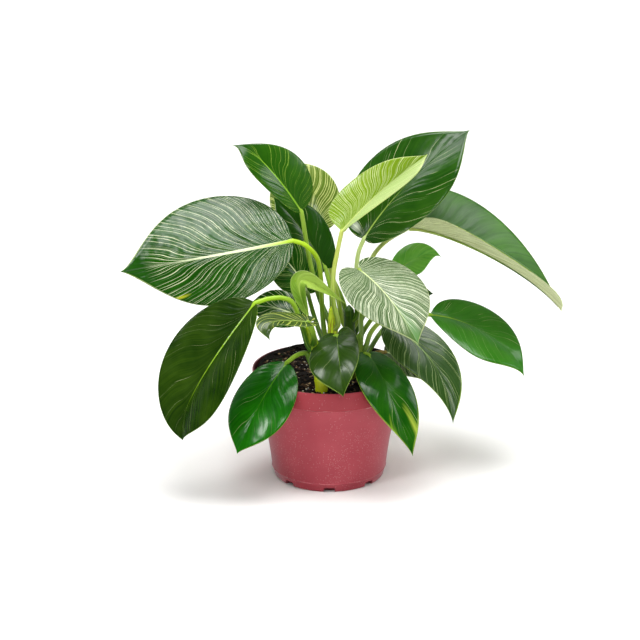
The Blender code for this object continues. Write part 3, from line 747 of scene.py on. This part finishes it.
def leathery(name, finish, leaf, length):
    """A leaf blade: chlorophyll green under a glossy cuticle, with cream stripes where the cells
    have none. Fine relief follows the veins. The underside is paler and nearly matt."""
    made = new_surface(name)
    place = add(made, "Attribute", attribute_name="surface")["Vector"]
    share = add(made, "Attribute", attribute_name="share")["Fac"]
    parts = add(made, "SeparateXYZ", {"Vector": place})
    vein, across, inset = parts["X"], parts["Y"], parts["Z"]
    world = add(made, "TexCoord")["Object"]
    beside = add(made, "Math", {0: across}, operation="ABSOLUTE")[0]
    # the green is deeper in clouds some 25 mm across, and varies from vein to vein
    cloud = add(made, "TexNoise", {"Vector": world, "Scale": 38.0, "Detail": 3.0})["Fac"]
    along_veins = add(made, "Mapping", {
        "Vector": place, "Scale": (0.45, 0.03, 0.0), "Location": (leaf.width, 0.0, 0.0)})[0]
    veins = add(made, "TexNoise", {
        "Vector": along_veins, "Scale": 1.0, "Detail": 4.0, "Roughness": 0.6})["Fac"]
    tone = add(made, "Math", {0: cloud, 1: veins}, operation="ADD")[0]
    tone = add(made, "MapRange", {"Value": tone, 1: 0.75, 2: 1.30})[0]
    green = add(made, "Mix", {0: tone, 6: linear(finish.deep), 7: linear(finish.fresh)}, data_type="RGBA")[2]
    # stripes lie between the veins at random distances, and come and go along their length
    slow = add(made, "Mapping", {"Vector": place, "Scale": (0.03, 0.06, 0.0)})[0]
    waver = add(made, "TexNoise", {"Vector": slow, "Scale": 1.0, "Detail": 2.0})["Fac"]
    quick = add(made, "Mapping", {"Vector": place, "Scale": (0.16, 0.22, 0.0)})[0]
    shake = add(made, "TexNoise", {"Vector": quick, "Scale": 1.0, "Detail": 2.0})["Fac"]
    bare = add(made, "MapRange", {"Value": share, 1: finish.bare_tip, 2: finish.bare_tip - 0.1})[0]
    layers = []
    for layer, (pitch, width, density, strength) in enumerate((finish.bold, finish.fine)):
        phase = add(made, "Math", {0: vein, 1: 1.0 / pitch, 2: 17.3 * layer + leaf.width},
                    operation="MULTIPLY_ADD")[0]
        phase = add(made, "Math", {0: waver, 1: 2.4 / pitch, 2: phase}, operation="MULTIPLY_ADD")[0]
        phase = add(made, "Math", {0: shake, 1: 1.0 / pitch, 2: phase}, operation="MULTIPLY_ADD")[0]
        cell = add(made, "TexVoronoi", {"W": phase, "Scale": 1.0}, voronoi_dimensions="1D")
        lot = add(made, "SeparateColor", {"Color": cell["Color"]})
        breadth = add(made, "MapRange", {
            "Value": lot[0], 3: 0.25 * width / pitch, 4: 0.5 * width / pitch})[0]
        swell = add(made, "MapRange", {"Value": shake, 1: 0.3, 2: 0.7, 3: 0.6, 4: 1.4})[0]
        breadth = add(made, "Math", {0: breadth, 1: swell}, operation="MULTIPLY")[0]
        line = add(made, "Math", {0: breadth, 1: cell["Distance"]}, operation="SUBTRACT")[0]
        line = add(made, "MapRange", {"Value": line, 1: -0.12 / pitch, 2: 0.12 / pitch})[0]
        drawn = add(made, "Mapping", {
            "Vector": place, "Scale": (0.12, 0.05, 0.0), "Location": (5.0 * layer, leaf.width, 0.0)})[0]
        ragged = add(made, "TexNoise", {"Vector": drawn, "Scale": 1.0, "Detail": 4.0})["Fac"]
        chance = add(made, "Math", {0: ragged, 1: 1.3, 2: lot[1]}, operation="MULTIPLY_ADD")[0]
        chance = add(made, "MapRange", {
            "Value": chance, 1: density + 0.78, 2: density + 0.62, 4: strength})[0]
        layers.append(add(made, "Math", {0: line, 1: chance}, operation="MULTIPLY")[0])
    # the fine ones would crowd together at the joint, and fade there
    past_joint = add(made, "MapRange", {"Value": share, 1: 0.02, 2: 0.25})[0]
    layers[1] = add(made, "Math", {0: layers[1], 1: past_joint}, operation="MULTIPLY")[0]
    stripes = add(made, "Math", {0: layers[0], 1: layers[1]}, operation="MAXIMUM")[0]
    stripes = add(made, "Math", {0: stripes, 1: bare}, operation="MULTIPLY")[0]
    # one half can be painted paler, as painted sheen on the half that catches the overhead light
    if finish.half:
        side, hue = finish.half
        painted_sheen = add(made, "MapRange", {"Value": across, 1: -0.5 * side, 2: 2.0 * side, 4: 0.75})[0]
        green = add(made, "Mix", {0: painted_sheen, 6: green, 7: linear(hue)}, data_type="RGBA")[2]
    colour = add(made, "Mix", {0: stripes, 6: green, 7: linear(finish.stripe)}, data_type="RGBA")[2]
    # spots of another colour: most are the leaf's own marks, and the pale one on leaf_top_right is a painted
    # highlight
    for (at_share, at_across), spread, hue in finish.patches:
        centre = (at_share * length, at_across * leaf.width / 2, 0.0)
        off = add(made, "VectorMath", {0: place, 1: centre}, operation="SUBTRACT")[0]
        off = add(made, "VectorMath", {0: off, 1: (0.8, 1.2, 0.0)}, operation="MULTIPLY")[0]
        off = add(made, "VectorMath", {0: off}, operation="LENGTH")["Value"]
        off = add(made, "Math", {0: veins, 1: 1.6 * spread, 2: off}, operation="MULTIPLY_ADD")[0]
        near = add(made, "MapRange", {"Value": off, 1: 1.9 * spread, 2: 0.9 * spread, 4: 0.9})[0]
        colour = add(made, "Mix", {0: near, 6: colour, 7: linear(hue)}, data_type="RGBA")[2]
    # the pale midrib thins out and fades towards the tip, and the margin is a pale thread
    taper = add(made, "MapRange", {
        "Value": share, 2: finish.rib_end, 3: finish.rib_width, 4: 0.15 * finish.rib_width})[0]
    rib = add(made, "Math", {0: taper, 1: beside}, operation="SUBTRACT")[0]
    rib = add(made, "MapRange", {"Value": rib, 1: -0.3, 2: 0.15})[0]
    fade = add(made, "MapRange", {"Value": share, 1: finish.rib_end + 0.1, 2: finish.rib_end - 0.3})[0]
    rib = add(made, "Math", {0: rib, 1: fade}, operation="MULTIPLY")[0]
    colour = add(made, "Mix", {0: rib, 6: colour, 7: linear(finish.rib)}, data_type="RGBA")[2]
    edge = add(made, "MapRange", {
        "Value": inset, 1: 1.2 * finish.margin_width + 0.02, 2: 0.4 * finish.margin_width, 4: 0.7})[0]
    colour = add(made, "Mix", {0: edge, 6: colour, 7: linear(finish.margin)}, data_type="RGBA")[2]
    # the underside is paler, and shows the veins as a fine hatch
    under = add(made, "Attribute", attribute_name="under")["Fac"]
    hatch = add(made, "Mapping", {"Vector": place, "Scale": (1.1, 0.06, 0.0)})[0]
    hatch = add(made, "TexNoise", {"Vector": hatch, "Scale": 1.0, "Detail": 3.0})["Fac"]
    hatch = add(made, "MapRange", {"Value": hatch, 1: 0.4, 2: 0.62})[0]
    below = add(made, "Mix", {
        0: hatch, 6: linear(finish.under), 7: linear(finish.weave)}, data_type="RGBA")[2]
    colour = add(made, "Mix", {0: under, 6: colour, 7: below}, data_type="RGBA")[2]
    # soft ridges some 5 mm apart follow the side veins, faint blisters are some 13 mm across, and
    # the cuticle is pebbled
    ridged = add(made, "Mapping", {"Vector": place, "Scale": (0.2, 0.02, 0.0)})[0]
    ridges = add(made, "TexNoise", {"Vector": ridged, "Scale": 1.0, "Detail": 1.0})["Fac"]
    pebble = add(made, "TexNoise", {"Vector": world, "Scale": 700.0, "Detail": 2.0})["Fac"]
    blister = add(made, "TexNoise", {"Vector": world, "Scale": 75.0, "Detail": 1.0})["Fac"]
    relief = add(made, "Math", {0: stripes, 1: 0.03, 2: ridges}, operation="MULTIPLY_ADD")[0]
    relief = add(made, "Math", {0: pebble, 1: 0.03, 2: relief}, operation="MULTIPLY_ADD")[0]
    relief = add(made, "Math", {0: blister, 1: 1.5, 2: relief}, operation="MULTIPLY_ADD")[0]
    rough = add(made, "MapRange", {
        "Value": cloud, 1: 0.3, 2: 0.7, 3: finish.rough - 0.04, 4: finish.rough + 0.05})[0]
    rough = add(made, "Math", {0: under, 1: 0.25, 2: rough}, operation="MULTIPLY_ADD")[0]
    return coat(made, colour, rough, (relief, 0.0007 * finish.ripple, 0.4), {"IOR": 1.4})


def make_leaf(name, slot, finish, leaf):
    """Grow one leaf, blade and stalk in one piece, and set it in place of its solid."""
    samples = [bezier(leaf.rib, i / RIB_SAMPLES) for i in range(RIB_SAMPLES + 1)]
    length = sum((b - a).length for a, b in zip(samples, samples[1:]))
    bm = bmesh.new()
    grow_blade(bm, leaf, length)
    blade_faces = len(bm.faces)
    stalk_length = grow_stalk(bm, leaf)
    bm.faces.ensure_lookup_table()
    for face in bm.faces[blade_faces:]:
        face.material_index = 1
    bmesh.ops.recalc_face_normals(bm, faces=bm.faces)
    blade = leathery(name + "_cuticle", finish, leaf, length)
    tones = ((-finish.rib_end * length, finish.deep), (-0.4 * finish.rib_end * length, finish.rib),
             (6.0, finish.stalk), (0.9 * stalk_length, finish.root))
    stalk = fleshy(name + "_stalk", tones, finish.strand)
    finish_piece(name + "_blade", bm, [blade, stalk], slot, [name])


# dark leaves: deep green, with a few thin cream stripes or with many

DARK = Finish(
    deep="#173E08", fresh="#24500A", stripe="#D8E2A2", under="#3E6628", weave="#5E823A", rib="#7FA62A",
    margin="#7FA03C", bold=(10.0, 0.75, 0.4, 0.9), fine=(3.0, 0.3, 0.1, 0.35), stalk="#86AC28",
    root="#2C5A04", strand="#A9C850", margin_width=0.15)
STRIPED = replace(
    DARK, deep="#0E3C02", fresh="#205605", stripe="#ECF4C4", rib="#D8E4AE", margin="#B8CC80",
    bold=(4.2, 0.45, 0.85, 0.95), fine=(2.0, 0.22, 0.4, 0.4), margin_width=0.2)
PLAIN = replace(DARK, bold=(8.0, 0.8, 0.0, 0.5), fine=(2.6, 0.4, 0.0, 0.3))

# its stalk is painted a lighter yellow-green than its own, as painted light on a stalk that stands in shade
make_leaf("leaf_wide_left", "leaf_dark", replace(
    STRIPED, rib_width=1.7, rib_end=0.85, rib="#EAF4C4", ripple=3.0, stalk="#B2DA18", root="#2D5202",
    bare_tip=0.86, patches=(((0.69, -0.6), 3.0, "#B8BC20"),)), Leaf(
        stem="stem_centre", foot=(140, 195),
        stalk=((-7, 3, 172), (-8, 5, 200), (-12, 1, 222), (-23, -8, 237)),
        rib=((-35, -15, 243.5), (-122, -20, 227), (-193, -76, 230.5)), width=114, face=(-0.29, -0.8, 0.42),
        fold=-3, curl=16, lobe=0.0, point=3.7, skew=-0.03, uneven=0.15, quilt=0.12, keel=2.2, raised=0.15))
make_leaf("leaf_top_left", "leaf_dark", replace(
    DARK, deep="#1E4E05", fresh="#2C5E08", bold=(6.0, 0.35, 0.6, 0.7), fine=(2.2, 0.2, 0.3, 0.35),
    stripe="#A8CC50", rib="#7FB22A", rib_end=0.9, stalk="#98BC3B"), Leaf(
        stem="stem_centre", foot=(150, 120),
        stalk=((-9, 16, 175), (-16, 17, 200), (-22, 21, 230), (-25, 21, 250)),
        rib=((-27, 20, 263), (-54, 6, 311.5), (-85, 18, 331.5)), width=48.5, face=(0.5, -0.85, 0.33),
        fold=10, curl=10, lobe=0.0, point=5.5, skew=-0.12, uneven=0.28, tip=(-8, -3, -2)))
make_leaf("leaf_dark_centre", "leaf_dark", replace(
    PLAIN, deep="#163E05", fresh="#214C08", rib_width=0.0), Leaf(
        stem="stem_centre", foot=(132, 85), stalk=((3, 22, 155), (2, 33, 178), (-1, 39, 190)),
        rib=((-4, 43, 200), (-26, 48, 242), (-55, 50, 270)), width=52, face=(0.4, -0.85, 0.35),
        fold=10))
# its pale patch near the joint is a painted highlight, and its stalk and the start of its midrib are painted
# lighter than their own green, as painted light where they stand in shade
make_leaf("leaf_top_right", "leaf_dark", replace(
    DARK, deep="#1A460A", fresh="#2E5C0E", bold=(9.0, 0.6, 0.5, 0.85), fine=(4.0, 0.3, 0.2, 0.45),
    rib="#A8C65C", rib_end=0.5, stalk="#D6EA98", patches=(((0.13, -0.3), 9.0, "#E8F0DC"),)), Leaf(
        stem="stem_back", foot=(148, 340), stalk=((27, 34, 180), (27, 33, 200), (29, 34, 218)),
        rib=((34.5, 35, 232), (66.5, 50.5, 283), (138.5, 68, 334)), width=87, face=(-0.32, -0.86, 0.67),
        fold=22, curl=22, lobe=0.03, point=6.8, skew=0.04))
# its greens are lighter than the other dark leaves': partly its own yellower green, and partly a painted
# highlight over the whole blade
make_leaf("leaf_small_back_right", "leaf_dark", replace(
    PLAIN, deep="#468E26", fresh="#74B444", rib_end=0.4, rough=0.3), Leaf(
        stem="stem_back", foot=(126, 45), stalk=((36, 50, 150), (50, 60, 175)),
        rib=((68, 70, 187), (89, 82, 205), (113, 84, 203)), width=35, face=(-0.17, -0.75, 0.52), fold=14,
        curl=27, point=3.4, skew=-0.05, tip=(2, 0, -4)))
make_leaf("leaf_hidden_right", "leaf_dark", STRIPED, Leaf(
    stem="stem_back", foot=(116, 350), stalk=((34, 34, 135), (44, 36, 150)),
    rib=((53, 38, 158), (80, 52, 176), (106, 64, 166)), width=36, face=(-0.2, -0.6, 0.8), fold=14))
make_leaf("leaf_pointed_right", "leaf_dark", replace(
    DARK, deep="#26680E", fresh="#347818", bold=(12.0, 0.6, 0.1, 0.6), rib_end=0.45), Leaf(
        stem="stem_right", foot=(118, 50), stalk=((39, -8, 130), (52, 8, 145), (66, 20, 153), (82, 24, 158)),
        rib=((100, 23, 157), (154.5, 23, 152.5), (192.5, -17, 114)), width=63, face=(0.23, -0.52, 0.91),
        fold=14, curl=22, lobe=-0.02, point=7.7, skew=0.09, uneven=-0.09, tip=(-2, -1, -7)))
make_leaf("leaf_heart_front", "leaf_dark", replace(
    PLAIN, deep="#203C06", fresh="#2E4C0C", rib_width=0.0, margin="#93B04C", margin_width=0.35,
    rough=0.22), Leaf(
        stem="stem_front", foot=(132, 10), stalk=((-2, -44, 150),),
        rib=((7, -47, 159), (8, -81, 152), (13, -92, 113)), width=50, face=(-0.2, -0.9, 0.4), fold=10,
        lobe=0.17, skew=0.05, uneven=0.18))
make_leaf("leaf_broad_low_left", "leaf_dark", replace(
    DARK, deep="#122E02", fresh="#304C08", bold=(12.0, 0.4, 0.05, 0.45), fine=(3.4, 0.25, 0.1, 0.3),
    rib="#84AE20", rib_end=0.6, stalk="#9CC81A"), Leaf(
        stem="stem_front", foot=(146, 200),
        stalk=((-26, -49, 168), (-34, -47, 190), (-44, -47, 196), (-57, -49, 196)),
        rib=((-70, -54, 193.5), (-150, -87, 97.5), (-138.5, -88, 68)), width=85, face=(-0.4, -0.78, 0.29),
        fold=28, curl=20, lobe=0.0, point=2.9, skew=-0.06, uneven=0.06))
make_leaf("leaf_curled_left", "leaf_dark", replace(
    STRIPED, deep="#2C4416", fresh="#3C5424", stripe="#B4BE58", rib="#8CA648", margin="#A9C05A",
    bold=(5.0, 1.0, 0.6, 0.9), under="#425830", weave="#6A7C4C"), Leaf(
        stem="stem_front", foot=(152, 280), stalk=((-16, -59, 167),),
        rib=((-20, -64, 178), (-38, -70, 181), (-67, -82, 191), (-55, -92, 169)), width=31,
        face=(0.0, -0.2, 1.0), fold=20, curl=25, lobe=0.2, skew=0.08))
make_leaf("leaf_striped_mid_left", "leaf_dark", STRIPED, Leaf(
    stem="stem_centre", foot=(116, 190), stalk=((-12, -8, 138), (-20, -10, 156)),
    rib=((-28, -12, 165), (-52, -12, 180), (-80, -4, 174)), width=38, face=(-0.2, -0.75, 0.6), fold=12))
make_leaf("leaf_behind_left", "leaf_dark", replace(STRIPED, stripe="#A8BC70", stalk="#456A0C"), Leaf(
    stem="stem_centre", foot=(122, 140), stalk=((-10, 10, 145), (-16, 16, 162)),
    rib=((-21, 18, 181), (-34, 20, 212), (-66, 26, 234)), width=48, face=(0.4, -0.85, 0.35), fold=12))
make_leaf("leaf_back_high", "leaf_dark", STRIPED, Leaf(
    stem="stem_back", foot=(130, 104), stalk=((15, 50, 160), (4, 62, 182)),
    rib=((-6, 71, 194), (-36, 112, 216), (-72, 146, 190)), width=52, face=(-0.2, 0.4, 0.9), fold=14))

# bright leaves: younger growth, clear mid green and glossy, almost without stripes

BRIGHT = replace(
    PLAIN, deep="#0E5204", fresh="#1C6E06", rib="#6EA224", margin="#93B83A", rough=0.17, rib_end=0.6)

make_leaf("leaf_low_right", "leaf_bright", replace(
    BRIGHT, deep="#104A05", fresh="#266206", rib="#2E6212", margin="#A4C048", margin_width=0.45,
    patches=(((0.83, -0.5), 6.0, "#A2B840"), ((0.86, 0.5), 5.0, "#8FB030"))), Leaf(
        stem="stem_right", foot=(121, 330), stalk=((34, -30, 134),),
        rib=((38, -32, 134), (55, -77, 124), (79, -91, 53)), width=49, face=(0.31, -0.8, 0.5), fold=11,
        curl=23, lobe=0.08, point=4.9, skew=-0.07))
make_leaf("leaf_low_left", "leaf_bright", replace(BRIGHT, rib="#4E9414"), Leaf(
    stem="stem_front", foot=(128, 170), stalk=((-22, -50, 142), (-31, -44, 138)),
    rib=((-41, -42, 129.5), (-67.5, -77, 105), (-87.5, -92, 56)), width=61, face=(-0.4, -0.75, 0.38),
    fold=8, curl=28, lobe=-0.01, point=7.5))
make_leaf("leaf_back_low", "leaf_bright", BRIGHT, Leaf(
    stem="stem_back", foot=(114, 80), stalk=((26, 50, 135), (32, 64, 148)),
    rib=((38, 76, 152), (54, 118, 150), (62, 140, 100)), width=60, face=(0.1, 0.6, 0.8), fold=14))

# lime leaves: the youngest, yellow-green and closely streaked

LIME = Finish(
    deep="#6E9214", fresh="#8AAC20", stripe="#E4EEA8", under="#8FAA50", weave="#BCCB82", rib="#C9D67C",
    margin="#CEDC8C", bold=(2.1, 0.5, 0.9, 0.9), fine=(1.1, 0.28, 0.6, 0.5), stalk="#CAD763",
    root="#86A622", strand="#DCE49A", bare_tip=1.2)

make_leaf("leaf_back_left", "leaf_lime", replace(
    LIME, deep="#4E681C", fresh="#64802C", stripe="#C6D07C", bold=(3.2, 1.2, 0.9, 0.9)), Leaf(
        stem="stem_back", foot=(140, 150), stalk=((8, 46, 172), (0, 56, 200), (-6, 65, 220)),
        rib=((-10, 70, 232), (-26, 84, 268), (-53, 100, 294)), width=74, face=(0.3, -0.85, 0.4), fold=16))
# its paler half is painted sheen
make_leaf("leaf_lime_top", "leaf_lime", replace(LIME, half=(1, "#BCD48C")), Leaf(
    stem="stem_centre", foot=(152, 310), stalk=((4, -6, 180), (4, 0, 205), (8, 4, 228)),
    rib=((12, 5, 247.5), (46.5, 19, 285.5), (92.5, 0, 324)), width=53, face=(-0.66, -0.75, 0.59),
    fold=42, curl=22, lobe=0.0, point=13.0, skew=0.23))
make_leaf("leaf_long_right", "leaf_lime", replace(
    LIME, deep="#26560A", fresh="#3E7216", stripe="#5A8C34", bold=(9.0, 0.6, 0.1, 0.4),
    fine=(3.0, 0.4, 0.1, 0.3), under="#A4AE70", weave="#E4ECBC", rib="#8CAA48", margin="#C4D08A",
    margin_width=0.1, stalk="#B2C264", rough=0.45), Leaf(
        stem="stem_back", foot=(140, 25), stalk=((34, 46, 175), (42, 52, 205), (56, 58, 222)),
        rib=((79, 60, 236), (111, 72, 236), (202, 35, 199), (231, 26, 160)), width=129,
        face=(0.02, -0.1, 1.0), fold=47, curl=29, lobe=0.0, point=3.2, skew=0.19, uneven=0.11,
        quilt=0.3))
make_leaf("leaf_young_folded", "leaf_lime", replace(
    LIME, deep="#94B840", fresh="#B6D260", stripe="#C4D880", bold=(6.0, 0.6, 0.1, 0.4),
    fine=(2.0, 0.3, 0.1, 0.3), under="#86B02A", weave="#A8CC4C", rib_width=0.0, stalk="#6FA012",
    root="#4E8A0A", rough=0.3, patches=(((0.26, 0.0), 26.0, "#54860C"),)), Leaf(
        stem="stem_front", foot=(156, 100), stalk=((-21, -37, 171),),
        rib=((-22, -35, 178), (-41, -31, 228), (-17, -26, 208), (18, -22, 181)), width=21,
        face=(-0.2, -0.9, 0.4), fold=42, curl=10, lobe=0.02, point=3.0, quilt=0.0, wave=0.2))

# sage leaves: grey-green with pale stripes, under a dull silvery bloom

SAGE = Finish(
    deep="#3E5A28", fresh="#54703C", stripe="#F0F6D6", under="#849A66", weave="#9DB07C", rib="#CCDA9E",
    margin="#CAD896", bold=(2.7, 0.5, 0.95, 0.92), fine=(1.3, 0.3, 0.8, 0.65), stalk="#92AC3C",
    root="#4C7218", strand="#B4C670", rough=0.32, rib_end=0.9)

make_leaf("leaf_silver_front", "leaf_sage", replace(SAGE, patches=(((0.97, -0.1), 9.0, "#3E7A14"),)), Leaf(
    stem="stem_right", foot=(142, 70), stalk=((31, -8, 165), (33, -8, 185), (32, -14, 207)),
    rib=((28, -25, 218), (59, -58, 204), (82, -92, 165)), width=84, face=(0.24, -0.49, 0.84), fold=12,
    curl=16, lobe=0.12))
make_leaf("leaf_striped_low_right", "leaf_sage", replace(
    SAGE, deep="#22400F", fresh="#32501F", stripe="#A4B878", bold=(7.0, 0.6, 0.75, 0.75),
    fine=(3.0, 0.3, 0.25, 0.35), rib="#7C9E44", rib_end=0.6, margin="#8FB04A", rough=0.24), Leaf(
        stem="stem_right", foot=(132, 10), stalk=((40, -14, 150), (48, -8, 158)),
        rib=((54.5, -5, 158), (112.5, -32, 137), (118.5, -63, 75)), width=54, face=(0.05, -0.7, 0.75),
        fold=9, curl=19, lobe=0.01, point=2.7, skew=-0.09, uneven=-0.07))
make_leaf("leaf_under_right", "leaf_sage", replace(
    SAGE, deep="#3E5632", fresh="#566E48", bold=(6.0, 0.6, 0.2, 0.6), stalk="#A8803A",
    root="#7F8E2A"), Leaf(
        stem="stem_right", foot=(111, 100), stalk=((36, -6, 120), (46, -4, 126)),
        rib=((55, -4, 127), (78, -9, 126), (98, -28, 104)), width=38, face=(0.0, -0.6, 0.8), fold=12))
